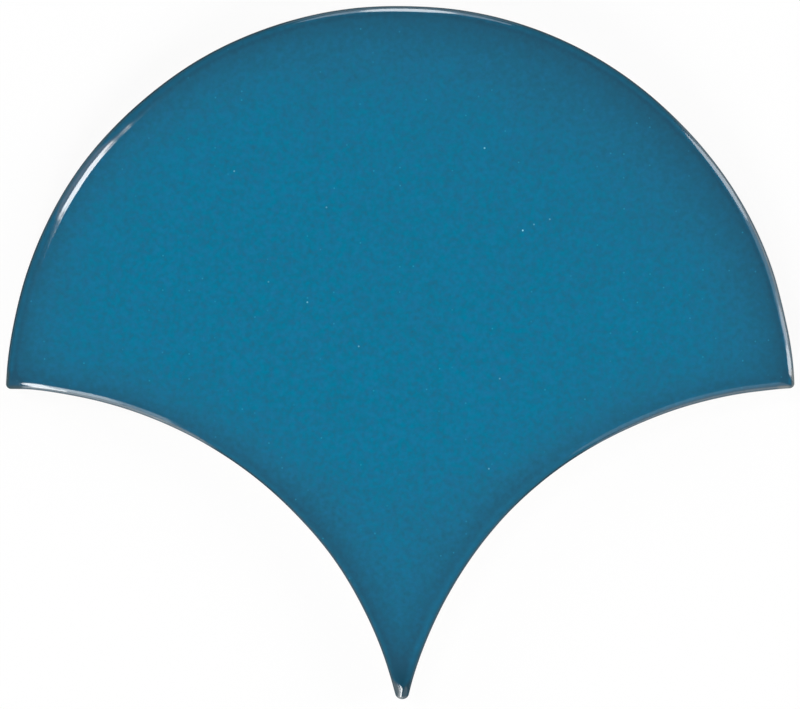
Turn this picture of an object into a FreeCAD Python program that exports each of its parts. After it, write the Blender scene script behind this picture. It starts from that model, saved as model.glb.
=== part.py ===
# Fish scale wall tile, pressed, glazed and fired as one piece.
# Millimetres. The tile lies on its back: X runs across it, Y from its tip to its round edge,
# and Z out of the glazed face. The origin is the centre of the round edge, on the bedding plane.

import FreeCAD, Part
import math
import os

import Sketcher

# Driving dimensions: name, value, meaning
dimensions = [
    ("round_radius", 60.0, "radius of the round edge, which is half the tile's width"),
    ("joint_width", 1.55, "grout joint between a hollow edge and the round edge that nests in it"),
    ("side_joint", 1.3, "grout joint between the round edges of two tiles side by side"),
    ("tip_radius", 1.05, "rounding of the tip, seen from above"),
    ("corner_radius", 0.8, "rounding of the two side corners, seen from above"),
    ("thickness", 8.5, "bedding plane to glazed face"),
    ("shoulder_width", 2.0, "rounded shoulder between the glazed face and the wall, seen from above"),
    ("shoulder_drop", 1.0, "fall of the shoulder from the glazed face to the top of the wall"),
    ("face_tip_radius", 0.4, "what the shoulder leaves of the tip's rounding on the face"),
    ("face_corner_radius", 0.4, "what the shoulder leaves of the corners' rounding on the face"),
    ("draft_angle", 2.0, "lean of the wall, in degrees, so that the blank leaves its die"),
    ("back_chamfer", 0.5, "broken edge round the back"),
    ("back_margin", 5.0, "plain border of the back, outside the keying grooves"),
    ("groove_end_radius", 1.5, "rounding of the grooved field's corners"),
    ("groove_width", 5.0, "keying groove, across"),
    ("rib_width", 3.0, "rib between two keying grooves"),
    ("groove_depth", 0.8, "keying groove, deep"),
]
shoulder_steps = 8  # outlines that the shoulder's quarter of an ellipse is drawn through
quarter_turn = 90

# The next row of tiles is half a tile's pitch aside and one radius down, so that it nests in the hollows
column_offset = "(Sizes.round_radius + Sizes.side_joint / 2)"
row_offset = "Sizes.round_radius"

doc = FreeCAD.newDocument("fish_scale_tile")
sheet = doc.addObject("Spreadsheet::Sheet", "Sizes")
for row, (alias, value, meaning) in enumerate(dimensions, start=1):
    sheet.set(f"A{row}", meaning)
    sheet.set(f"B{row}", str(value))
    sheet.setAlias(f"B{row}", alias)
doc.recompute()


def size(expression):
    """The number that an expression on the sheet's cells has now."""
    return float(sheet.evalExpression(expression))


def arc(centre, radius, toward_start, toward_end):
    """A counter-clockwise arc between two directions from its centre."""
    start = math.atan2(toward_start.y, toward_start.x)
    end = math.atan2(toward_end.y, toward_end.x)
    if end < start:
        end += 2 * math.pi
    circle = Part.Circle(centre, FreeCAD.Vector(0, 0, 1), radius)
    return Part.ArcOfCircle(circle, start, end)


def fan_sketch(sketch, inset, tip, corner):
    """Draws the fan outline, drawn in all round by inset: the round edge, the two hollow edges that
    are concentric with the neighbours' round edges, and the small arcs that round the tip and the corners.
    The three sizes are expressions on the sheet."""
    round_size = f"Sizes.round_radius - ({inset})"
    hollow_size = f"Sizes.round_radius + Sizes.joint_width + ({inset})"
    round_radius, hollow_radius = size(round_size), size(hollow_size)
    tip_radius, corner_radius = size(tip), size(corner)
    across, down = size(column_offset), size(row_offset)

    # The tip's centre is one tip radius outside both hollows, and a corner's centre is one corner radius
    # inside the round and outside its hollow.
    middle = FreeCAD.Vector(0, 0, 0)
    hollow = FreeCAD.Vector(across, -down, 0)
    tip_centre = FreeCAD.Vector(0, math.sqrt((hollow_radius + tip_radius) ** 2 - across**2) - down, 0)
    inner, outer = round_radius - corner_radius, hollow_radius + corner_radius
    along = (inner**2 - outer**2 + hollow.Length**2) / (2 * hollow.Length)
    beside = math.sqrt(inner**2 - along**2)
    toward = hollow / hollow.Length
    corner_centre = toward * along + FreeCAD.Vector(-toward.y, toward.x, 0) * beside

    def mirrored(point):
        return FreeCAD.Vector(-point.x, point.y, 0)

    left_hollow, left_corner = mirrored(hollow), mirrored(corner_centre)
    arcs = [
        arc(middle, round_radius, corner_centre, left_corner),
        arc(left_corner, corner_radius, left_corner, left_hollow - left_corner),
        arc(left_hollow, hollow_radius, tip_centre - left_hollow, left_corner - left_hollow),
        arc(tip_centre, tip_radius, left_hollow - tip_centre, hollow - tip_centre),
        arc(hollow, hollow_radius, corner_centre - hollow, tip_centre - hollow),
        arc(corner_centre, corner_radius, hollow - corner_centre, corner_centre),
    ]
    rounded, corner_l, hollow_l, tip_arc, hollow_r, corner_r = (sketch.addGeometry(a, False) for a in arcs)

    start, end, centre, origin = 1, 2, 3, (-1, 1)
    sketch.addConstraint(Sketcher.Constraint("Coincident", rounded, centre, *origin))
    for joint in (
        (rounded, end, corner_l, start),
        (corner_l, end, hollow_l, end),
        (hollow_l, start, tip_arc, start),
        (tip_arc, end, hollow_r, end),
        (hollow_r, start, corner_r, start),
        (corner_r, end, rounded, start),
    ):
        sketch.addConstraint(Sketcher.Constraint("Tangent", *joint))
    driven = [
        (("Radius", rounded), round_size),
        (("Radius", hollow_l), hollow_size),
        (("Radius", hollow_r), hollow_size),
        (("Radius", tip_arc), tip),
        (("Radius", corner_l), corner),
        (("Radius", corner_r), corner),
        (("DistanceX", hollow_l, centre, *origin), column_offset),
        (("DistanceX", *origin, hollow_r, centre), column_offset),
        (("DistanceY", hollow_l, centre, *origin), row_offset),
        (("DistanceY", hollow_r, centre, *origin), row_offset),
    ]
    for constraint, expression in driven:
        index = sketch.addConstraint(Sketcher.Constraint(*constraint, size(expression)))
        sketch.setExpression(f"Constraints[{index}]", expression)
    return sketch


def level(body, name, height, inset, tip="Sizes.tip_radius", corner="Sizes.corner_radius"):
    """A fan outline of the tile's body at a height above the bedding plane."""
    sketch = body.newObject("Sketcher::SketchObject", name)
    plane = next(f for f in body.Origin.OriginFeatures if f.Role == "XY_Plane")
    sketch.AttachmentSupport = [(plane, "")]
    sketch.MapMode = "FlatFace"
    sketch.setExpression("AttachmentOffset.Base.z", height)
    return fan_sketch(sketch, inset, tip, corner)


def loft(body, name, levels, ruled):
    """A solid through a stack of fan outlines."""
    feature = body.newObject("PartDesign::AdditiveLoft", name)
    feature.Profile = levels[0]
    feature.Sections = levels[1:]
    feature.Ruled = ruled
    return feature


# The blank: a wall that leans out from the broken back edge up to its widest line, then the shoulder
blank = doc.addObject("PartDesign::Body", "blank")
widest_height = "Sizes.thickness - Sizes.shoulder_drop"
lean = "tan(Sizes.draft_angle)"
back_inset = f"({widest_height}) * {lean} + Sizes.back_chamfer"
foot_inset = f"({widest_height} - Sizes.back_chamfer) * {lean}"
back_level = level(blank, "back_level", "0", back_inset)
foot_level = level(blank, "foot_level", "Sizes.back_chamfer", foot_inset)
widest_level = level(blank, "widest_level", widest_height, "0")
loft(blank, "wall", [back_level, foot_level, widest_level], ruled=True)

shoulder_levels = [widest_level]
for step in range(1, shoulder_steps + 1):
    turn = quarter_turn * step / shoulder_steps
    share = f"(1 - cos({turn}))"
    shoulder_levels.append(
        level(
            blank,
            f"shoulder_level_{step}",
            f"{widest_height} + Sizes.shoulder_drop * sin({turn})",
            f"Sizes.shoulder_width * {share}",
            f"Sizes.tip_radius + (Sizes.face_tip_radius - Sizes.tip_radius) * {share}",
            f"Sizes.corner_radius + (Sizes.face_corner_radius - Sizes.corner_radius) * {share}",
        )
    )
loft(blank, "shoulder", shoulder_levels, ruled=False)

# The keying grooves: bars across the back, cut to the field inside its plain border
field_outline = doc.addObject("Sketcher::SketchObject", "field_outline")
fan_sketch(field_outline, "Sizes.back_margin", "Sizes.groove_end_radius", "Sizes.groove_end_radius")
field = doc.addObject("Part::Extrusion", "field")
field.Base = field_outline
field.DirMode = "Custom"
field.Dir = FreeCAD.Vector(0, 0, 1)
field.Solid = True
field.setExpression("LengthFwd", "Sizes.groove_depth")
field.setExpression("LengthRev", "Sizes.groove_depth")
doc.recompute()


def groove_bar(number, near_edge):
    """A bar that cuts one groove, whose edge nearest to the X axis is given by an expression."""
    bar = doc.addObject("Part::Box", f"groove_bar_{number}")
    bar.setExpression("Length", "2 * Sizes.round_radius")
    bar.setExpression("Width", "Sizes.groove_width")
    bar.setExpression("Height", "2 * Sizes.groove_depth")
    bar.setExpression("Placement.Base.x", "-Sizes.round_radius")
    bar.setExpression("Placement.Base.y", near_edge)
    bar.setExpression("Placement.Base.z", "-Sizes.groove_depth")
    return bar


# A rib lies on the X axis, and whole grooves follow it up to the round edge and down to the tip
pitch = "(Sizes.groove_width + Sizes.rib_width)"
reach = field.Shape.optimalBoundingBox()
above = int((reach.YMax + size("Sizes.rib_width / 2")) // size(pitch))
below = int((size("Sizes.rib_width / 2") - reach.YMin) // size(pitch))
bars = [
    groove_bar(number, f"Sizes.rib_width / 2 + {number} * {pitch}")
    for number in range(-below, above)
]
bar_row = doc.addObject("Part::Compound", "bar_row")
bar_row.Links = bars
grooves = doc.addObject("Part::Common", "grooves")
grooves.Base = field
grooves.Tool = bar_row

# The tile itself
tile = doc.addObject("Part::Cut", "fish_scale_tile")
tile.Label = "fish_scale_tile"
tile.Base = blank
tile.Tool = grooves
doc.recompute()

failed = [item.Name for item in doc.Objects if "Invalid" in item.State or "Error" in item.State]
if failed:
    raise RuntimeError(f"these objects failed: {failed}")
if tile.Shape.isNull() or not tile.Shape.isValid() or len(tile.Shape.Solids) != 1:
    raise RuntimeError(f"{tile.Label} is not one valid solid")

os.makedirs("parts", exist_ok=True)
tile.Shape.exportStep(f"parts/{tile.Label}.step")
box = tile.Shape.optimalBoundingBox()
print(f"{tile.Label}: {box.XLength:.2f} x {box.YLength:.2f} x {box.ZLength:.2f} mm")
print(f"volume {tile.Shape.Volume:.0f} mm3")
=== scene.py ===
# Fish scale wall tile lying on its back: gloss petrol blue glaze over a pressed and fired clay body.
# Metres, in the CAD frame: X across the tile, Y from its tip to its round edge, Z out of the glazed face.

import math

import bpy
import numpy as np
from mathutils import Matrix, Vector


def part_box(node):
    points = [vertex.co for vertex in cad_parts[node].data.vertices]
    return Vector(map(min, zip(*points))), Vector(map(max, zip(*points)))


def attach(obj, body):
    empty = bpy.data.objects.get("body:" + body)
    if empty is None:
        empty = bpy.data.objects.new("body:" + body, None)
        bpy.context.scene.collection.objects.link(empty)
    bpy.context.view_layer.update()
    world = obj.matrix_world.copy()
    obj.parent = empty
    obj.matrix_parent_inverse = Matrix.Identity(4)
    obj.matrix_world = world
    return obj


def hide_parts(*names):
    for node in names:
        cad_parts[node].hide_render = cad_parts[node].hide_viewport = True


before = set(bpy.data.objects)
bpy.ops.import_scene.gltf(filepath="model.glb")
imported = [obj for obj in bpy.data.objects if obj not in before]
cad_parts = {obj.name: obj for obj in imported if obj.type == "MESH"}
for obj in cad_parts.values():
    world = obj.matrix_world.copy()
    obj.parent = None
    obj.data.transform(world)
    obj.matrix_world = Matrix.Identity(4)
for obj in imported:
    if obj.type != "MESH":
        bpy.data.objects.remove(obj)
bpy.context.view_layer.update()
tileNode = "fish_scale_tile"
tileLow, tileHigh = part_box(tileNode)
mm = 0.001
tileSize = f"{(tileHigh.x - tileLow.x) / mm:.1f} mm wide and {tileHigh.z / mm:.1f} mm thick"
print("frame:", *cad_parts, tileSize)


# Shape of the tile. Its round edge and its thickness come from the frame.
tileShape = {
    "jointWidth": 1.55 * mm,  # a hollow edge is this much wider than the round edge that nests in it
    "sideJoint": 1.3 * mm,  # between the round edges of two tiles side by side
    "tipRadius": 1.05 * mm,
    "cornerRadius": 0.8 * mm,
    "faceTipRadius": 0.7 * mm,  # what the shoulder leaves of them on the face
    "faceCornerRadius": 1.3 * mm,
    "shoulderWidth": 2.0 * mm,  # the shoulder is a quarter of an ellipse
    "shoulderDrop": 1.0 * mm,
    "draft": math.radians(2),
    "backChamfer": 0.5 * mm,
    "backMargin": 5.0 * mm,
    "grooveEndRadius": 1.5 * mm,
    "grooveWidth": 5.0 * mm,
    "ribWidth": 3.0 * mm,
    "grooveDepth": 0.8 * mm,
    "grooveSlope": 0.25 * mm,  # run of a groove's side, from the rib down to the groove's floor
    "glazeThickness": 0.18 * mm,  # step of the glaze where it ends on the wall
    "glazeEnd": 4.1 * mm,  # mean height of that step above the back
    "glazeEndSwing": 0.7 * mm,
    "glazeEndTurns": (2, 3, 5, 9, 14, 23, 37, 61),  # swings of that height in one turn round the tile
    "pillow": 0.05 * mm,  # fall of the glazed face towards its edges
    "pillowReach": 5.0 * mm,
    "tipFall": 0.3 * mm,  # the glaze sinks a little over the last stretch of the tip
    "tipFallReach": 3.0 * mm,
    "tipFallPower": 1.3,
    "tipTilt": 0.085,  # and rises to the right there, in full from this share of the stretch on
    "tipTiltFull": 0.55,
    "tipSpread": 0.03,  # and the tip is a little wider than pressed
    "lean": 0.39 * mm,  # the tip has moved aside this much in the kiln
    "leanStart": 2.0 * mm,  # height on the tile below which it leans
    "leanPower": 1.3,
    # slow swells of the outline from drying and firing: degrees round an edge's own centre, half width in
    # degrees, and millimetres that the edge stands out. A hollow edge counts from its corner to the tip.
    "roundSwells": (
        (13, 5, -0.15), (45, 11, -0.13), (89, 7, -0.14), (120, 9, 0.10), (144, 11, 0.19), (168, 5, -0.08),
    ),
    "leftSwells": ((4, 4, -0.14), (32, 8, -0.05), (41, 6, -0.08), (54, 8, -0.19), (75, 5, 0.16)),
    "rightSwells": ((1, 3, -0.17), (13, 4, 0.05), (23, 9, 0.19), (46, 7, -0.07), (75, 4, 0.04)),
    "swellReach": 8.0 * mm,  # how far in from an edge they carry
    "rippleDepth": 0.0025 * mm,  # unevenness of the glaze on the shoulder
    "rippleReach": 4.0 * mm,  # how far it carries on into the face
    "rippleLengths": (2.6 * mm, 7.0 * mm),
    "rippleWaves": 26,
    # the outer line's darkness is a painted dark reflection, weaker where lamps mirror in the shoulder
    "darkLine": (  # azimuth on the round edge, and how dark its outer line is there
        (0, 0.1), (44, 0.2), (50, 1), (70, 1), (78, 0.6), (102, 0.6),
        (107, 1), (133, 1), (138, 0.6), (151, 0.6), (156, 1), (180, 0.9),
    ),
    # and the same painted dark reflection along the hollow edges
    "paintedHollowLine": ((0, 0), (29, 0), (32, 1), (41, 1), (45, 0.6), (75, 0.6)),  # degrees from the corner
    "seed": 7,
    # fineness of the mesh: steps along the tip, a hollow edge, a corner and half the round edge, then rings
    "arcSteps": (14, 150, 10, 220),
    "clayRings": 9,
    "stepRings": 5,
    "wallRings": 7,
    "shoulderRings": 27,
    "faceRings": 23,
    "faceGrowth": 1.7,  # the face's rings grow wider apart by this power of their number
    "faceReach": 0.46,  # how far in they go, and the height of the point they close on, in round radii
    "middleHeight": 0.34,
    "middleRings": 14,
    "backColumns": 9,  # between the sides of the grooves' ends
    "edgeTrace": 400,  # points to an arc where the back's edge and the field are traced to look up a height
    "fieldTrace": 600,
    "sharpFrom": math.radians(38),  # a sharper edge than this isn't smoothed
}
shape = tileShape
roundRadius = tileHigh.y
thickness = tileHigh.z
across = roundRadius + shape["sideJoint"] / 2  # from the centre of the round edge to that of a hollow edge
down = roundRadius
hollowRadius = roundRadius + shape["jointWidth"]
widestHeight = thickness - shape["pillow"] - shape["shoulderDrop"]
tipArc, hollowArc, roundArc = 0, 1, 3  # numbers of the outline's arcs, where 2 is a corner
chance = np.random.default_rng(shape["seed"])


# The right half of a fan outline, drawn in by inset, is four arcs that meet in line, from the bottom of
# the tip up to the top of the round edge: tip, hollow edge, corner, round edge. A point is named by its
# arc and by its share of the way along that arc.
def fanPoints(arc, share, inset, tip, corner):
    roundSize = roundRadius - inset
    hollowSize = hollowRadius + inset
    tipY = np.sqrt((hollowSize + tip) ** 2 - across**2) - down
    # the corner's centre is one corner radius inside the round edge and outside the hollow edge
    inner, outer, reach = roundSize - corner, hollowSize + corner, math.hypot(across, down)
    along = (inner**2 - outer**2 + reach**2) / (2 * reach)
    beside = np.sqrt(inner**2 - along**2)
    cornerX = (across * along + down * beside) / reach
    cornerY = (across * beside - down * along) / reach
    toCorner = np.arctan2(cornerY, cornerX)
    nought = np.zeros_like(tipY)

    def pick(*perArc):
        return np.choose(arc, np.broadcast_arrays(*perArc))

    centreX = pick(nought, nought + across, cornerX, nought)
    centreY = pick(tipY, nought - down, cornerY, nought)
    radius = pick(nought + tip, hollowSize, nought + corner, roundSize)
    start = pick(
        nought - math.pi / 2,
        np.arctan2(tipY + down, nought - across),
        np.arctan2(-down - cornerY, across - cornerX),
        toCorner,
    )
    end = pick(
        np.arctan2(-down - tipY, nought + across),
        np.arctan2(cornerY + down, cornerX - across),
        toCorner,
        nought + math.pi / 2,
    )
    angle = start + share * (end - start)
    return centreX + radius * np.cos(angle), centreY + radius * np.sin(angle)


# The same for the outline of the grooved field on the back
def fieldPoints(arc, share):
    margin = np.full(arc.size, shape["backMargin"])
    return fanPoints(arc, share, margin, shape["grooveEndRadius"], shape["grooveEndRadius"])


# Where the keying grooves start, as heights on the tile: a rib lies on the X axis, and whole grooves follow
# it at an even pitch, up to the field's top and down to its bottom.
def grooveStarts():
    pitch = shape["grooveWidth"] + shape["ribWidth"]
    bottom, top = fieldPoints(np.array([tipArc, roundArc]), np.array([0.0, 1.0]))[1]
    below = int((shape["ribWidth"] / 2 - bottom) // pitch)
    above = int((top + shape["ribWidth"] / 2) // pitch)
    return shape["ribWidth"] / 2 + pitch * np.arange(-below, above)


# Stations round the outline: even steps along each arc, and more where a groove's side meets the back's
# edge. The right half's height grows all the way, so a height names one point of it.
def stations(backInset):
    steps = shape["arcSteps"]
    arc = np.append(np.repeat(np.arange(4), steps), roundArc)
    share = np.append(np.concatenate([np.arange(n) / n for n in steps]), 1.0)
    fine = np.linspace(0, 1, shape["edgeTrace"])
    inset = np.full(fine.size, backInset)
    side = shape["grooveSlope"]
    sides = np.add.outer(grooveStarts(), [0, side / 2, side]).ravel()
    sides = np.concatenate([sides, sides + shape["grooveWidth"] - side])
    for which in (hollowArc, roundArc):
        traced = np.full(fine.size, which)
        heights = fanPoints(traced, fine, inset, shape["tipRadius"], shape["cornerRadius"])[1]
        here = sides[(sides > heights[1]) & (sides < heights[-2])]
        arc = np.append(arc, np.full(here.size, which))
        share = np.append(share, np.interp(here, heights, fine))
    order = np.lexsort((share, arc))
    arc, share = arc[order], share[order]
    apart = np.append(True, (np.diff(arc) > 0) | (np.diff(share) > 1e-5))
    return arc[apart], share[apart]


# Ripple of the glaze: a sum of plane waves in random directions, each a sine of the distance along it.
def rippleWaves():
    count = shape["rippleWaves"]
    length = np.exp(chance.uniform(*np.log(shape["rippleLengths"]), count))
    heading = chance.uniform(0, 2 * math.pi, count)
    phase = chance.uniform(0, 2 * math.pi, count)
    waveX, waveY = 2 * math.pi / length * np.cos(heading), 2 * math.pi / length * np.sin(heading)

    def ripple(x, y):
        waves = np.sin(x[..., None] * waveX + y[..., None] * waveY + phase)
        return waves.sum(-1) / math.sqrt(count)

    return ripple


# Lower edge of the glaze on the wall, as a height for each station: sines of the way round the tile, at
# random phases, the slow ones wider than the quick ones.
def glazeEndHeights(x, y):
    step = np.hypot(np.diff(x, append=x[:1]), np.diff(y, append=y[:1]))
    turn = 2 * math.pi * np.cumsum(step) / step.sum()
    swing = np.zeros_like(turn)
    for turns in shape["glazeEndTurns"]:
        swing += np.sin(turns * turn + chance.uniform(0, 2 * math.pi)) / math.sqrt(turns)
    return shape["glazeEnd"] + shape["glazeEndSwing"] * swing / 2


# 0 below low, 1 above high, and three squares less two cubes of the way between them
def smoothStep(low, high, value):
    t = np.clip((value - low) / (high - low), 0, 1)
    return t * t * (3 - 2 * t)


# How far a point is into the last stretch of the tip: 0 above it, and 1 at its end
def intoTip(y):
    return np.clip(1 - (y - tileLow.y) / shape["tipFallReach"], 0, 1)


# The wall, shoulder and face as one profile carried round the outline. Each ring of the profile has an inset
# from the outline, a height and a slope; the face's inner rings then shrink onto one point.
def shellRings(arc, share, mirror):
    lean, chamfer, coat = math.tan(shape["draft"]), shape["backChamfer"], shape["glazeThickness"]
    wide, drop = shape["shoulderWidth"], shape["shoulderDrop"]
    level = np.ones(arc.size)
    x, y = fanPoints(arc, share, 0 * level, shape["tipRadius"], shape["cornerRadius"])
    glazeEnd = glazeEndHeights(x * mirror, y)

    # bare clay from the back's broken edge up to the glaze, standing back by the glaze's thickness
    clayZ = chamfer + np.linspace(0, 1, shape["clayRings"])[:, None] * (glazeEnd - chamfer)
    clayInset = (widestHeight - clayZ) * lean + coat
    backZ, backInset = 0 * clayZ[:1], clayInset[:1] + chamfer
    # the glaze's step is a quarter round, and its wall goes on up to the widest line
    stepTurn = np.linspace(0, math.pi / 2, shape["stepRings"])[1:, None]
    stepZ = glazeEnd + coat * (1 - np.cos(stepTurn))
    stepInset = (widestHeight - stepZ) * lean + coat * (1 - np.sin(stepTurn))
    wallZ = stepZ[-1:] + np.linspace(0, 1, shape["wallRings"])[1:-1, None] * (widestHeight - stepZ[-1:])
    wallInset = (widestHeight - wallZ) * lean
    # the shoulder is a quarter of an ellipse
    turn = np.linspace(0, math.pi / 2, shape["shoulderRings"])[:, None] * level
    shoulderZ = widestHeight + drop * np.sin(turn)
    shoulderInset = wide * (1 - np.cos(turn))
    shoulderSlope = np.arctan2(drop * np.cos(turn), wide * np.sin(turn))
    # the face rises over its pillow, in rings that grow wider apart
    faceWay = np.linspace(0, 1, shape["faceRings"])[1:, None] ** shape["faceGrowth"] * level
    faceInset = wide + (shape["faceReach"] * roundRadius - wide) * faceWay
    faceZ = thickness - shape["pillow"] * np.exp((wide - faceInset) / shape["pillowReach"])

    inset = np.concatenate([backInset, clayInset, stepInset, wallInset, shoulderInset, faceInset])
    z = np.concatenate([backZ, clayZ, stepZ, wallZ, shoulderZ, faceZ])
    bare = len(backZ) + len(clayZ)
    walls = bare + len(stepZ) + len(wallZ)
    upright = np.full((walls, arc.size), math.pi / 2)
    slope = np.concatenate([upright, shoulderSlope, 0 * faceZ])
    glazed = np.concatenate([np.zeros((bare, arc.size)), np.ones((len(z) - bare, arc.size))])

    # the ends' radii change over the shoulder, and the glaze ripples along the surface's own slope
    over = np.clip(inset / wide, 0, 1) * (z >= widestHeight)
    tip = shape["tipRadius"] + (shape["faceTipRadius"] - shape["tipRadius"]) * over
    corner = shape["cornerRadius"] + (shape["faceCornerRadius"] - shape["cornerRadius"]) * over
    x, y = fanPoints(arc, share, inset, tip, corner)
    depth = shape["rippleDepth"] * glazed * np.exp(-np.maximum(inset - wide, 0) / shape["rippleReach"])
    sink = depth * (1 - rippleWaves()(x * mirror, y))
    z = z - sink * np.cos(slope)
    inset = inset + np.maximum(sink, 0) * np.sin(slope)
    x, y = fanPoints(arc, share, inset, tip, corner)

    # the last rings shrink onto the middle of the face
    middleY = roundRadius * shape["middleHeight"]
    shrink = np.linspace(1, 0, shape["middleRings"])[1:-1, None]
    top = z[-1].mean()
    x = np.concatenate([x, x[-1:] * shrink]) * mirror
    y = np.concatenate([y, middleY + (y[-1:] - middleY) * shrink])
    z = np.concatenate([z, top + (z[-1:] - top) * shrink])
    glazed = np.concatenate([glazed, np.ones((len(shrink), arc.size))])

    # the tip sinks and tilts, from the glaze's end upwards
    toTip = intoTip(y)
    high = np.clip((z - glazeEnd) / (widestHeight - glazeEnd), 0, 1)
    tilt = shape["tipTilt"] * smoothStep(0, shape["tipTiltFull"], toTip)
    z = z - (shape["tipFall"] * toTip ** shape["tipFallPower"] - tilt * x) * high
    return np.stack([x, y, z], -1), glazed, np.array([0, middleY, top])


# The back as rows across the tile, one for each height of the outline's right half, and columns that run
# from edge to edge. Its height is the grooves' depth where a row lies in a groove and a column inside the
# field.
def backGrid(edgeX, edgeY):
    fine = shape["fieldTrace"]
    fieldX, fieldY = fieldPoints(np.repeat(np.arange(4), fine), np.tile(np.linspace(0, 1, fine), 4))
    field = np.interp(edgeY, fieldY, fieldX, left=0, right=0)
    # the columns stay inside the edge, and where a row misses the field they only fill it
    narrow, widest, half = 0.1 * edgeX, 0.94 * edgeX, 0.5 * edgeX
    field = np.where(field > narrow, np.minimum(field, widest), half)[:, None]
    side = np.minimum(shape["grooveSlope"], narrow[:, None])
    between = np.linspace(-0.8, 0.8, shape["backColumns"])
    columns = np.concatenate([
        -field, -field + side / 2, -field + side,
        (field - side) * between,
        field - side, field - side / 2, field,
    ], axis=1)
    rows = edgeY[:, None] - grooveStarts()
    slope, width = shape["grooveSlope"], shape["grooveWidth"]
    inGroove = (smoothStep(0, slope, rows) * (1 - smoothStep(width - slope, width, rows))).sum(1)[:, None]
    inField = smoothStep(0, 1, (field - np.abs(columns)) / side)
    depth = shape["grooveDepth"] * inGroove * inField
    return np.stack([columns, np.broadcast_to(edgeY[:, None], columns.shape), depth], -1)


# Kiln warp: near an edge, points move out along that edge's normal by bell-shaped swells of the angle round
# the edge's centre, which fade as a bell with the distance in. Below a height they also lean aside.
def kilnWarp(points):
    x, y = points[:, 0], points[:, 1]
    warped = points.copy()
    leaning = np.clip((shape["leanStart"] - y) / (shape["leanStart"] - tileLow.y), 0, 1)
    warped[:, 0] += shape["lean"] * leaning ** shape["leanPower"]
    warped[:, 0] += shape["tipSpread"] * x * intoTip(y)
    for side, swells in ((0, "roundSwells"), (-1, "leftSwells"), (1, "rightSwells")):
        outX, outY = x - side * across, y + abs(side) * down
        far = np.maximum(np.hypot(outX, outY), 0.01 * mm)
        if side:
            turn, inFrom, outward = np.arctan2(-side * outX, outY), far - hollowRadius, -1
        else:
            turn, inFrom, outward = np.arctan2(outY, outX), roundRadius - far, 1
        at, wide, out = np.transpose(shape[swells])
        swell = (out * mm * np.exp(-(((np.degrees(turn)[:, None] - at) / wide) ** 2))).sum(1)
        swell *= outward * np.exp(-((inFrom / shape["swellReach"]) ** 2))
        warped[:, 0] += swell * outX / far
        warped[:, 1] += swell * outY / far
    return warped


# How dark the painted dark reflection on the outer line is at each station: read off by the azimuth on the
# round edge, and by the way from the corner on the rest of the outline.
def outerLine(arc, footX, footY):
    onRound = np.interp(np.degrees(np.arctan2(footY, footX)), *np.transpose(shape["darkLine"]))
    fromCorner = np.degrees(np.arctan2(across - np.abs(footX), footY + down))
    onHollow = np.interp(fromCorner, *np.transpose(shape["paintedHollowLine"]))
    return np.where(arc == roundArc, onRound, onHollow)


# The faces of a grid of point numbers, four corners each
def quads(first, second, third, fourth):
    return np.stack([first, second, third, fourth], -1).reshape(-1, 4)


# Joins the rings, the point they close on and the back's rows into one closed mesh, faces outwards.
def makeTile():
    draftInset = (widestHeight - shape["backChamfer"]) * math.tan(shape["draft"])
    backInset = draftInset + shape["backChamfer"] + shape["glazeThickness"]
    arc, share = stations(backInset)
    half = arc.size
    loop = np.concatenate([np.arange(half), np.arange(half - 2, 0, -1)])
    mirror = np.where(np.arange(loop.size) < half, 1.0, -1.0)
    rings, glazed, middle = shellRings(arc[loop], share[loop], mirror)
    ringCount, around = rings.shape[:2]
    back = backGrid(rings[0, :half, 0], rings[0, :half, 1])[1:-1]
    rowCount, columnCount = back.shape[:2]
    backCount = rowCount * columnCount

    # the points as pressed, which the glaze's patterns follow, and then as fired
    pressed = np.concatenate([rings.reshape(-1, 3), middle[None], back.reshape(-1, 3)])
    points = kilnWarp(pressed)
    cover = np.concatenate([glazed.ravel(), [1.0], np.zeros(backCount)])
    # how strong the painted dark reflection on the outer line is, at each point
    line = outerLine(arc[loop], rings[0, :, 0], rings[0, :, 1])
    line = np.concatenate([np.tile(line, ringCount), np.zeros(1 + backCount)])

    ringIndex = np.arange(ringCount * around).reshape(ringCount, around)
    following = np.roll(ringIndex, -1, axis=1)
    shell = quads(ringIndex[:-1], following[:-1], following[1:], ringIndex[1:])
    closing = np.stack([ringIndex[-1], following[-1], np.full(around, ringCount * around)], -1)
    backIndex = ringCount * around + 1 + np.arange(backCount).reshape(rowCount, columnCount)
    inside = np.arange(1, half - 1)
    backIndex = np.concatenate([(around - inside)[:, None], backIndex, inside[:, None]], axis=1)
    base = quads(backIndex[:-1, :-1], backIndex[1:, :-1], backIndex[1:, 1:], backIndex[:-1, 1:])
    first, last = backIndex[0], backIndex[-1]
    tipFan = np.stack([np.zeros(first.size - 1, int), first[:-1], first[1:]], -1)
    topFan = np.stack([last[:-1], np.full(last.size - 1, half - 1), last[1:]], -1)

    mesh = bpy.data.meshes.new("glazed_tile")
    faces = np.concatenate([shell, base]).tolist() + np.concatenate([closing, tipFan, topFan]).tolist()
    mesh.from_pydata(points.tolist(), [], faces)
    mesh.attributes.new("glazeCover", "FLOAT", "POINT").data.foreach_set("value", cover.astype(np.float32))
    # the painted dark reflection's strength, for the finish to read
    mesh.attributes.new("darkLine", "FLOAT", "POINT").data.foreach_set("value", line.astype(np.float32))
    mesh.attributes.new("pressed", "FLOAT_VECTOR", "POINT").data.foreach_set("vector", pressed.ravel())
    mesh.polygons.foreach_set("use_smooth", np.ones(len(mesh.polygons), bool))
    mesh.set_sharp_from_angle(angle=shape["sharpFrom"])
    mesh.update()
    tile = bpy.data.objects.new("glazed_tile", mesh)
    bpy.context.scene.collection.objects.link(tile)
    triangles = sum(len(p.vertices) - 2 for p in mesh.polygons)
    print(f"tile: {ringCount} rings of {around} points, {triangles} triangles")
    return tile


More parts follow.
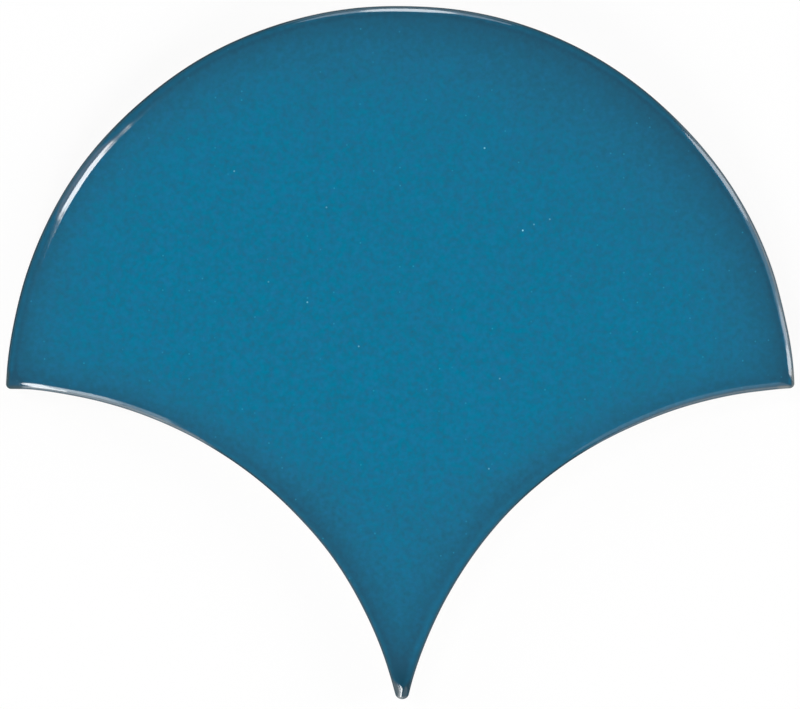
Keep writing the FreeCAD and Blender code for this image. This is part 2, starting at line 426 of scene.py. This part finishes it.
# One socket that takes part in Python arithmetic: an expression adds its Math nodes to the material.
class Wire:
    def __init__(self, tree, socket=None):
        self.tree, self.socket = tree, socket

    # any node: its type, its settings, then the values or links of its sockets
    def node(self, kind, settings=None, sockets=None, out=0):
        made = self.tree.nodes.new("ShaderNode" + kind)
        for name, value in (settings or {}).items():
            if name == "stops":
                while len(made.color_ramp.elements) < len(value):
                    made.color_ramp.elements.new(0.5)
                for element, (position, colour) in zip(made.color_ramp.elements, value):
                    element.position, element.color = position, colour
            else:
                setattr(made, name, value)
        for name, value in (sockets or {}).items():
            if isinstance(value, Wire):
                self.tree.links.new(value.socket, made.inputs[name])
            else:
                made.inputs[name].default_value = value
        return Wire(self.tree, made.outputs[out]) if made.outputs else None

    def maths(self, operation, *values, clamp=False):
        return self.node("Math", {"operation": operation, "use_clamp": clamp}, dict(enumerate(values)))

    def __add__(self, other):
        return self.maths("ADD", self, other)

    def __sub__(self, other):
        return self.maths("SUBTRACT", self, other)

    def __rsub__(self, other):
        return self.maths("SUBTRACT", other, self)

    def __mul__(self, other):
        return self.maths("MULTIPLY", self, other)

    def __truediv__(self, other):
        return self.maths("DIVIDE", self, other)

    def __pow__(self, other):
        return self.maths("POWER", self, other)

    def __neg__(self):
        return self.maths("MULTIPLY", self, -1)

    __radd__, __rmul__ = __add__, __mul__

    def exp(self):
        return self.maths("EXPONENT", self)

    def size(self):
        return self.maths("ABSOLUTE", self)

    def clamped(self):
        return self.maths("ADD", self, 0, clamp=True)

    def larger(self, other):
        return self.maths("MAXIMUM", self, other)

    def smaller(self, other):
        return self.maths("MINIMUM", self, other)

    # 0 below low, 1 above high, and a smooth step between them
    def step(self, low, high):
        ends = {"Value": self, "From Min": low, "From Max": high}
        return self.node("MapRange", {"interpolation_type": "SMOOTHSTEP"}, ends)

    # colours at given values of this wire, and even blends between them
    def ramp(self, stops):
        return self.node("ValToRGB", {"stops": stops}, {"Fac": self})

    def vector(self, operation, *values, out=0, scale=None):
        sockets = dict(enumerate(values)) if scale is None else {0: values[0], "Scale": scale}
        return self.node("VectorMath", {"operation": operation}, sockets, out)

    # this wire is the share of the second colour
    def colours(self, first, second, blend="MIX"):
        settings = {"data_type": "RGBA", "blend_type": blend}
        return self.node("Mix", settings, {0: self, 6: first, 7: second}, 2)

    def noise(self, place, perUnit, detail, rough=0.5):
        sockets = {"Vector": place, "Scale": perUnit, "Detail": detail, "Roughness": rough}
        return self.node("TexNoise", {}, sockets)


# A colour as a screen shows it, in 255ths, made linear
def linear(red, green, blue):
    parts = [c / 255 for c in (red, green, blue)]
    return tuple(c / 12.92 if c <= 0.04045 else ((c + 0.055) / 1.055) ** 2.4 for c in parts) + (1.0,)


# Finish of the tile. Lengths are in millimetres here, because the patterns are.
tileFinish = {
    # from thick to thin glaze: how thin it is, and its colour
    "glazes": ((0, (0, 124, 157)), (0.27, (17, 114, 146)), (0.486, (31, 106, 136)), (1, (36, 83, 107))),
    "thinAtEdge": 1.0255,  # how thin the glaze is at the edges, and how much thicker far from them
    "thickening": 0.775,
    "edgeReach": 3.5,  # how far the thin glaze reaches in from an edge
    "edgeReachMore": 5.4,  # and how much farther on one side, so that the edge is darker farther in there
    "reachMoreToward": math.radians(60),  # azimuth of that side
    "hollowReach": 3.2,
    # bands along the edges, painted light and shade on the shoulder, counted as round, left and right
    # hollow:
    # which, distance in, width, how much darker the glaze's colour is made in the middle of the tile and at
    # its sides, where the middle ends and the sides start
    "bands": (
        (0, 0.75, 0.4, -0.2, -0.2, 12, 50),
        (0, 1.3, 0.35, 0.08, 0.08, 12, 50),
        (1, 0.45, 0.4, -0.28, 0, 20, 50),
        (2, 0.45, 0.25, -0.15, 0.25, 20, 56),
        (2, 0.9, 0.5, -0.3, -0.15, 8, 28),
    ),
    # how much thinner the glaze gets towards the tip, between two heights on the tile
    "thinning": ((-17, -7, 0.09), (-41.5, -36, 0.15)),
    # mottling: patches to the millimetre, detail, and how much thinner the glaze is there
    "mottling": ((1.5, 2.0, 0.88), (0.6, 1.0, 0.25), (0.13, 1.0, 0.18)),
    "mottlingAtEdge": 0.35,  # share of it where the glaze is thinnest
    "blueGlaze": (36, 114, 161),  # in faint patches: their offset, patches to the millimetre and detail
    "blueOffset": (31, 17, 0),
    "bluePatches": (1.1, 2.0),
    "blueShare": 0.24,
    "blueSwing": 1.7,
    "edgeGlaze": (33, 92, 111),  # in the outermost stretch, between two distances in, and its share
    "edgePaintedReflection": (60, 80, 88),  # and there where no dark line is: a painted pale reflection of the lamps
    "edgeStretch": (0.15, 0.75),
    "edgeShare": 0.6,
    "rimPaintedDark": (20, 56, 70),  # painted dark reflection on the sharp outer edge, above a stretch just below the widest line
    "rimReach": (0.12, 0.38),
    "rimBelow": (0.35, 0.05),
    "tipGlaze": (26, 70, 90),  # on the last stretch of the tip
    "tipAlong": (-43.3, -39.5),
    "tipAcross": (0.4, 1.5),  # it is lighter again near the edges
    "tipAtEdge": 0.4,
    "noseGlaze": (90, 103, 110),  # where clay shows through it on the nose
    "noseAlong": (-42.9, -41.7),  # lower down in the middle of the tip than at its edges
    "noseSlope": 1.2,
    "nosePaintedShade": (38, 68, 82),  # painted shade on the nose's right side, from left to right between two distances aside
    "noseAside": (-0.45, 0.2),
    "cornerAt": (59.8, 2.0),
    "cornerReach": (1.9, 2.8),
    "cornerThin": 0.16,  # the glaze is thin on the corners, and matt on the left one
    "cornerMatt": (1.0, 1.7),  # out to a distance in from the hollow edge
    "cornerLeft": (58, 80, 88),  # clay shows through it at their very edge
    "cornerRight": (92, 104, 108),
    "cornerAcross": (0.25, 0.7),
    "speckRadius": 0.17,
    "speckCore": 0.4,  # share of the radius that is of one colour
    "faintSpeck": (65, 206, 243),
    "faintSpecks": (0.5, 0.87, 0.22),  # cells to the millimetre, share of them with no speck, and strength
    "speck": (140, 216, 238),
    # bright specks: place on the face, and strength
    "specks": (
        (12.8, 38.2, 0.82), (18.6, 25.7, 1.0), (-25.2, 34.7, 0.38), (-11.2, 29.2, 0.36), (22.7, 27.4, 0.33),
        (20.3, 26.6, 0.33), (-14.1, 14.8, 0.5), (-6.3, 8.1, 0.42), (15.1, 3.2, 0.33), (13.4, -10.5, 0.4),
        (-20.0, 17.9, 0.25),
    ),
    "gloss": 0.06,
    "shoulderIor": 1.5,
    "faceIor": 1.06,  # the flat face mirrors the lamps less, so that it stays blue from low sides
    "faceFrom": (1.85, 2.15),  # distances in between which the shoulder's gloss gives way to the face's
    "faceShade": (0.962, 0.962, 0.962, 1),  # a little darker, because less mirrored leaves more colour
    "peel": (0.55, 1.0),  # slow waves of the gloss to the millimetre, detail, then strength and depth
    "peelBump": (0.15, 0.04 * mm),
    "mattRough": 0.6,
    "mattSheen": 0.06,
    "clay": (205, 188, 164),
    "clayDark": (170, 148, 122),
    "sand": (3.0, 6.0, 0.7),  # grains of the clay to the millimetre, detail and roughness
    "sandSpan": (0.3, 0.75),
    "sandBump": (0.6, 0.2 * mm),
    "clayRough": 0.85,
    "claySheen": 0.2,
    "glazeEndSpan": (0.3, 0.7),
}


# The glaze's colour follows how thin it is: thin at the edges, with bands of painted light and shade,
# mottling and specks. It is worn on the tip's nose and the corners, with painted shade on the nose's right
# side, and matt on the outer line and the left corner; the outer line carries a painted dark reflection, and
# a painted pale one where lamps mirror. Bare clay takes over where the cover ends.
def glazedTileMaterial():
    look = tileFinish
    material = bpy.data.materials.new("glazed_tile")
    material.use_nodes = True
    material.node_tree.nodes.clear()
    start = Wire(material.node_tree)

    def colour(name):
        return linear(*look[name])

    def bump(name, height):
        strength, depth = look[name]
        return start.node("Bump", {}, {"Strength": strength, "Distance": depth, "Height": height})

    metres = start.node("Attribute", {"attribute_name": "pressed"}, out="Vector")
    place = start.vector("SCALE", metres, scale=1 / mm)
    flat = start.vector("MULTIPLY", place, (1, 1, 0))
    aside, along, height = (start.node("SeparateXYZ", {}, {0: place}, axis) for axis in "XYZ")
    cover = start.node("Attribute", {"attribute_name": "glazeCover"}, out="Fac")
    darkLine = start.node("Attribute", {"attribute_name": "darkLine"}, out="Fac")

    # distances in from the round edge, from the two hollow edges, and from the nearest of the three
    fromRound = roundRadius / mm - start.vector("LENGTH", flat, out="Value")
    fromLeft, fromRight = (
        start.vector("DISTANCE", flat, (side * across / mm, -down / mm, 0), out="Value") - hollowRadius / mm
        for side in (-1, 1)
    )
    edges = (fromRound, fromLeft, fromRight)
    nearest = fromRound.smaller(fromLeft).smaller(fromRight)
    toCorner = start.vector("DISTANCE", start.vector("ABSOLUTE", flat), (*look["cornerAt"], 0), out="Value")
    corner = 1 - toCorner.step(*look["cornerReach"])
    onRight = aside.step(-1, 1)

    # thin glaze falls off exponentially from each edge, and reaches farther in on one side
    reachMoreToward = (math.cos(look["reachMoreToward"]), math.sin(look["reachMoreToward"]), 0)
    facing = start.vector("DOT_PRODUCT", start.vector("NORMALIZE", flat), reachMoreToward, out="Value").larger(0)
    roundReach = look["edgeReach"] + look["edgeReachMore"] * facing * facing
    thick = 1
    for inFrom, reach in zip(edges, (roundReach, look["hollowReach"], look["hollowReach"])):
        thick = (1 - (-(inFrom / reach)).exp()) * thick
    banded = look["cornerThin"] * corner
    # the bands: painted light and shade along the shoulder
    fromMiddle = aside.size()
    for edge, at, width, inMiddle, atSide, middle, side in look["bands"]:
        amount = inMiddle + (atSide - inMiddle) * fromMiddle.step(middle, side)
        banded = amount * (-(((edges[edge] - at) / width) ** 2)).exp() + banded
    for low, high, amount in look["thinning"]:
        banded = amount * (1 - along.step(low, high)) + banded
    uneven = 0
    for perMillimetre, detail, amount in look["mottling"]:
        uneven = amount * (start.noise(place, perMillimetre, detail) - 0.5) + uneven
    calm = look["mottlingAtEdge"]
    uneven = uneven * (calm + (1 - calm) * thick * thick)
    thin = (look["thinAtEdge"] - look["thickening"] * thick + banded + uneven).clamped()
    glaze = thin.ramp([(at, linear(*parts)) for at, parts in look["glazes"]])

    hue = start.noise(start.vector("ADD", place, look["blueOffset"]), *look["bluePatches"])
    bluer = (look["blueShare"] + look["blueSwing"] * (hue - 0.5)).clamped() * (1 - thin)
    glaze = bluer.colours(glaze, colour("blueGlaze"))
    # the outermost stretch: the edge's glaze along the dark line, and a painted pale reflection where lamps
    # mirror
    atEdge = (1 - nearest.step(*look["edgeStretch"])) * look["edgeShare"]
    glaze = atEdge.colours(glaze, darkLine.colours(colour("edgePaintedReflection"), colour("edgeGlaze")))

    # the tip and the corners: darker glaze on the tip's last stretch, clay that shows through, and painted
    # shade on the right of the nose
    inside = look["tipAtEdge"] + (1 - look["tipAtEdge"]) * nearest.step(*look["tipAcross"])
    tip = (1 - along.step(*look["tipAlong"])) * inside
    glaze = tip.colours(glaze, colour("tipGlaze"))
    nose = 1 - (along + look["noseSlope"] * nearest).step(*look["noseAlong"])
    bare = aside.step(*look["noseAside"]).colours(colour("noseGlaze"), colour("nosePaintedShade"))
    glaze = nose.colours(glaze, bare)
    worn = corner * (1 - nearest.step(*look["cornerAcross"]))
    glaze = worn.colours(glaze, onRight.colours(colour("cornerLeft"), colour("cornerRight")))

    # pale specks: faint ones in a few cells of a flat cell pattern, and the bright ones at their places
    radius, core = look["speckRadius"], look["speckCore"] * look["speckRadius"]
    perMillimetre, without, strength = look["faintSpecks"]
    cells = {"Vector": place, "Scale": perMillimetre}
    apart = start.node("TexVoronoi", {"voronoi_dimensions": "2D"}, cells, "Distance")
    ofCell = start.node("TexVoronoi", {"voronoi_dimensions": "2D"}, cells, "Color")
    chosen = start.node("SeparateColor", {}, {0: ofCell}).step(without, 1)
    specks = (1 - apart.step(core * perMillimetre, radius * perMillimetre)) * chosen * strength
    glaze = (specks * cover).colours(glaze, colour("faintSpeck"))
    specks = 0
    for speckX, speckY, strength in look["specks"]:
        apart = start.vector("DISTANCE", flat, (speckX, speckY, 0), out="Value")
        specks = (1 - apart.step(core, radius)) * strength + specks
    glaze = (specks * cover).colours(glaze, colour("speck"))

    # the outer line: matt, and dark with a painted dark reflection on the sharp edge
    onShoulder = height.step(*(widestHeight / mm - below for below in look["rimBelow"]))
    rim = (1 - nearest.step(*look["rimReach"])) * onShoulder * darkLine
    matt = rim.larger(corner * onShoulder * (1 - onRight) * (1 - fromLeft.step(*look["cornerMatt"])))
    mattGlaze = corner.colours(colour("rimPaintedDark"), glaze)
    onFace = nearest.step(*look["faceFrom"])
    faceGlaze = onFace.colours(glaze, look["faceShade"], "MULTIPLY")
    sand = start.noise(place, *look["sand"])
    clay = sand.step(*look["sandSpan"]).colours(colour("clayDark"), colour("clay"))

    glossy = {"Roughness": look["gloss"], "Normal": bump("peelBump", start.noise(place, *look["peel"]))}
    shoulderShader = start.node("BsdfPrincipled", {}, {
        "Base Color": glaze, "IOR": look["shoulderIor"], **glossy,
    })
    faceShader = start.node("BsdfPrincipled", {}, {
        "Base Color": faceGlaze, "IOR": look["faceIor"], **glossy,
    })
    mattShader = start.node("BsdfPrincipled", {}, {
        "Base Color": mattGlaze, "Roughness": look["mattRough"], "Specular IOR Level": look["mattSheen"],
    })
    clayShader = start.node("BsdfPrincipled", {}, {
        "Base Color": clay, "Roughness": look["clayRough"], "Specular IOR Level": look["claySheen"],
        "Normal": bump("sandBump", sand),
    })
    glazeShader = start.node("MixShader", {}, {0: onFace, 1: shoulderShader, 2: faceShader})
    rimmed = start.node("MixShader", {}, {0: matt, 1: glazeShader, 2: mattShader})
    covered = cover.step(*look["glazeEndSpan"])
    mixed = start.node("MixShader", {}, {0: covered, 1: clayShader, 2: rimmed})
    start.node("OutputMaterial", {}, {"Surface": mixed})
    print(f"finish: {len(material.node_tree.nodes)} nodes")
    return material


tile = makeTile()
tile.data.materials.append(glazedTileMaterial())
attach(tile, "root")
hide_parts(tileNode)


# Studio: a pale floor that sweeps up at its rim, and lamps round the tile that its shoulder mirrors.
studio = {
    "floorHub": (0.05, 1.0),  # radii of the floor's inner rings
    "floorFlat": 2.2,
    "floorRim": 3.0,
    "floorRise": 0.5,
    "floorRings": 9,
    "floorTurns": 96,
    "floorColour": (0.94, 0.94, 0.94, 1),
    "floorLift": 0.92,  # share of plain white in what the camera and the gloss see of it
    "world": 0.15,
    "lampDistance": 1.5,
    "white": (1, 1, 1),
    "warm": (1, 0.88, 0.76),
    "amber": (1, 0.43, 0.05),
    # azimuth, angle from straight up, size across and along that arc, all in degrees, and radiance. A soft
    # lamp only lights the surface, a mirrored one is only seen in the gloss, and the others are both.
    "lamps": {
        "keyInner": (146.8, 15.25, 3.6, 7.5, 20, "both", "white", "board"),
        "key": (145.85, 22, 5.95, 6.0, 20, "both", "white", "board"),
        "keyOuter": (145.85, 27.9, 6.75, 5.8, 20, "both", "white", "board"),
        "leftDim": (145.8, 45, 10, 28, 1.7, "mirrored", "amber", "board"),
        "leftLow": (145.6, 72, 13, 30, 0.5, "mirrored", "warm", "disc"),
        "leftFill": (150, 65, 40, 30, 2.6, "soft", "white", "disc"),
        "rightFill": (60, 65, 36, 30, 1.2, "soft", "white", "disc"),
        "top": (88.8, 55.8, 10, 26.5, 10, "mirrored", "white", "disc"),
        "topWide": (89.2, 55.8, 27, 22, 3.2, "mirrored", "white", "disc"),
        "topLow": (90, 82, 36, 36, 1.0, "mirrored", "warm", "disc"),
        "lowFill": (259, 52, 13, 32, 8.9, "soft", "white", "disc"),
        "lowLeft": (255.6, 52, 4.2, 33, 19, "both", "white", "board"),
        "lowLeftTail": (250.2, 51, 4.3, 22, 7.5, "mirrored", "white", "board"),
        "lowLeftEnd": (244.3, 52, 5.0, 26, 3, "mirrored", "white", "board"),
        "lowLeftWide": (256, 80, 26, 44, 2.4, "mirrored", "white", "disc"),
        "lowLeftFar": (241, 80, 7, 44, 1.7, "mirrored", "warm", "disc"),
        "low": (268, 84, 62, 44, 1.95, "mirrored", "warm", "disc"),
        "lowRight": (285, 53, 32, 44, 1.05, "both", "white", "disc"),
        "right": (5.3, 59, 4.6, 34, 10.3, "both", "white", "disc"),
        "rightTail": (10.6, 61, 5, 30, 5, "both", "white", "disc"),
        "upperRight": (34.9, 60, 14.4, 32, 6.3, "mirrored", "white", "disc"),
        "rightWide": (20, 59.5, 38, 41, 1.7, "both", "white", "disc"),
        "rightLow": (19, 82, 50, 30, 2.1, "mirrored", "warm", "disc"),
    },
}


# A lamp that faces the tile from one direction, at the studio's distance. Its power is pi times its radiance
# times its area.
def addLamp(name, azimuth, fromUp, turnAcross, turnAlong, radiance, shows, tint, outline):
    distance = studio["lampDistance"]
    around, tilt = math.radians(azimuth), math.radians(fromUp)
    toward = Vector((math.sin(tilt) * math.cos(around), math.sin(tilt) * math.sin(around), math.cos(tilt)))
    data = bpy.data.lights.new(name, "AREA")
    data.shape = {"board": "RECTANGLE", "disc": "ELLIPSE"}[outline]
    data.size = 2 * distance * math.tan(math.radians(turnAcross) / 2)
    data.size_y = 2 * distance * math.tan(math.radians(turnAlong) / 2)
    data.color = studio[tint]
    area = data.size * data.size_y * {"board": 1, "disc": math.pi / 4}[outline]
    data.energy = radiance * math.pi * area
    lamp = bpy.data.objects.new(name, data)
    lamp.location = toward * distance
    lamp.rotation_euler = toward.to_track_quat("Z", "Y").to_euler()
    lamp.visible_camera = False
    lamp.visible_diffuse = shows != "mirrored"
    lamp.visible_glossy = shows != "soft"
    bpy.context.scene.collection.objects.link(lamp)


# The floor as rings round the tile: flat out to a radius, then rising as the square of the way to its rim.
def addFloor():
    flat, rim = studio["floorFlat"], studio["floorRim"]
    radius = np.concatenate([studio["floorHub"], np.linspace(flat, rim, studio["floorRings"])])[:, None]
    rise = studio["floorRise"] * np.clip((radius - flat) / (rim - flat), 0, 1) ** 2
    turn = np.linspace(0, 2 * math.pi, studio["floorTurns"], endpoint=False)
    rings = np.stack([radius * np.cos(turn), radius * np.sin(turn), rise + 0 * turn], -1)
    index = np.arange(rings.shape[0] * turn.size).reshape(-1, turn.size)
    following = np.roll(index, -1, axis=1)
    faces = quads(index[:-1], index[1:], following[1:], following[:-1]).tolist() + [index[0].tolist()]
    mesh = bpy.data.meshes.new("floor")
    mesh.from_pydata(rings.reshape(-1, 3).tolist(), [], faces)
    mesh.polygons.foreach_set("use_smooth", np.ones(len(mesh.polygons), bool))
    floor = bpy.data.objects.new("floor", mesh)
    bpy.context.scene.collection.objects.link(floor)

    material = bpy.data.materials.new("floor")
    material.use_nodes = True
    material.node_tree.nodes.clear()
    start = Wire(material.node_tree)
    camera, glossy, through = (
        start.node("LightPath", out=f"Is {ray} Ray") for ray in ("Camera", "Glossy", "Transmission")
    )
    seen = (camera + glossy + through).clamped() * studio["floorLift"]
    matt = start.node("BsdfDiffuse", {}, {"Color": studio["floorColour"]})
    white = start.node("Emission", {}, {"Color": (1, 1, 1, 1), "Strength": 1.0})
    mixed = start.node("MixShader", {}, {0: seen, 1: matt, 2: white})
    start.node("OutputMaterial", {}, {"Surface": mixed})
    mesh.materials.append(material)


# The floor, an even faint sky that the gloss doesn't mirror, and the lamps
def buildStudio():
    addFloor()
    world = bpy.data.worlds.new("studio")
    bpy.context.scene.world = world
    world.use_nodes = True
    world.node_tree.nodes.clear()
    start = Wire(world.node_tree)
    background = start.node("Background", {}, {"Color": (1, 1, 1, 1), "Strength": studio["world"]})
    start.node("OutputWorld", {}, {"Surface": background})
    world.cycles_visibility.glossy = False
    for name, lamp in studio["lamps"].items():
        addLamp(name, *lamp)
    print("studio: floor, world and", len(studio["lamps"]), "lamps")


# Camera straight above the tile. The photograph's frame is 800 by 709 pixels, with the centre of the round
# edge at the named pixel and the named number of pixels to a millimetre at the tile's widest line.
view = {
    "frameWidth": 800,
    "frameHeight": 709,
    "centre": (400.26, 399.67),
    "perMillimetre": 6.578,
    "lens": 200,
    "sensor": 36,
}


# The camera aims at the frame's middle, as high up as the lens needs to take in the frame's width.
def addCamera():
    data = bpy.data.cameras.new("camera")
    data.lens, data.sensor_width = view["lens"], view["sensor"]
    pixel = mm / view["perMillimetre"]
    aimX = (view["frameWidth"] / 2 - view["centre"][0]) * pixel
    aimY = (view["centre"][1] - view["frameHeight"] / 2) * pixel
    above = view["frameWidth"] * pixel * view["lens"] / view["sensor"]
    camera = bpy.data.objects.new("camera", data)
    camera.location = (aimX, aimY, widestHeight + above)
    bpy.context.scene.collection.objects.link(camera)
    bpy.context.scene.camera = camera
    print(f"camera: {camera.location.z:.3f} m above the floor")


buildStudio()
addCamera()
bpy.context.scene.view_settings.view_transform = "Standard"
